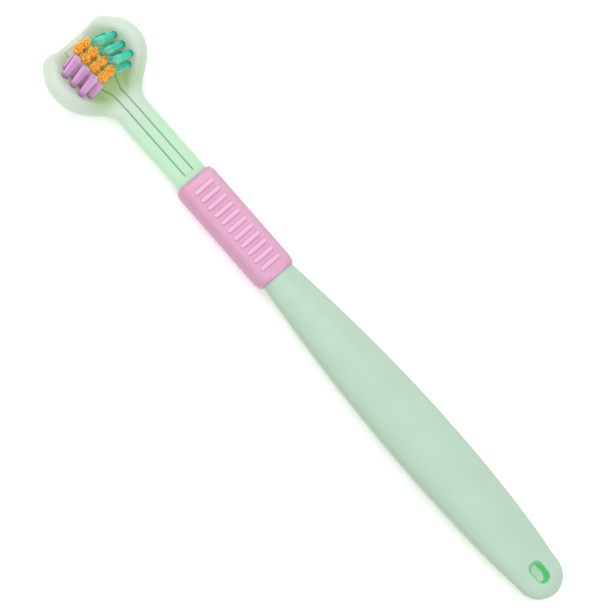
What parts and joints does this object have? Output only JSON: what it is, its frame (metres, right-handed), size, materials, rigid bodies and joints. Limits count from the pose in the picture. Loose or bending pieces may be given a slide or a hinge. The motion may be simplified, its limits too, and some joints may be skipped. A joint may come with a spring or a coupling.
{
  "type": "pet toothbrush",
  "caption": "Three-sided pet toothbrush: U-shaped head with bristles facing in from both wings and up from its floor, slim neck, ribbed rubber grip and hanging hole.",
  "frame": {"origin": "centre of the length and width, at the lowest point of the back, brush lying on its back", "axes": "+X from the head to the hanging hole, +Z out of the bristle side, +Y across towards the right wing"},
  "size_m": [0.175, 0.0263, 0.0139],
  "materials": {
    "mint_plastic": "satin",
    "pink_rubber": "satin",
    "purple_bristle": "satin",
    "teal_bristle": "satin",
    "orange_bristle": "satin",
    "anchor_metal": "satin"
  },
  "bodies": {
    "root": {"handle_body": "mint_plastic", "centre_carrier": "mint_plastic", "left_wing_plate": "mint_plastic", "right_wing_plate": "mint_plastic", "grip_sleeve": "pink_rubber", "left_tuft_anchors": "anchor_metal", "right_tuft_anchors": "anchor_metal", "centre_tuft_anchors": "anchor_metal", "left_upper_tuft_1": "purple_bristle", "left_upper_tuft_2": "purple_bristle", "left_upper_tuft_3": "purple_bristle", "left_lower_tuft_1": "purple_bristle", "left_lower_tuft_2": "purple_bristle", "left_lower_tuft_3": "purple_bristle", "left_lower_tuft_4": "purple_bristle", "right_upper_tuft_1": "teal_bristle", "right_upper_tuft_2": "teal_bristle", "right_upper_tuft_3": "teal_bristle", "right_lower_tuft_1": "teal_bristle", "right_lower_tuft_2": "teal_bristle", "right_lower_tuft_3": "teal_bristle", "right_lower_tuft_4": "teal_bristle", "centre_left_tuft_1": "orange_bristle", "centre_left_tuft_2": "orange_bristle", "centre_left_tuft_3": "orange_bristle", "centre_left_tuft_4": "orange_bristle", "centre_right_tuft_1": "orange_bristle", "centre_right_tuft_2": "orange_bristle", "centre_right_tuft_3": "orange_bristle", "centre_right_tuft_4": "orange_bristle"}
  },
  "joints": []
}
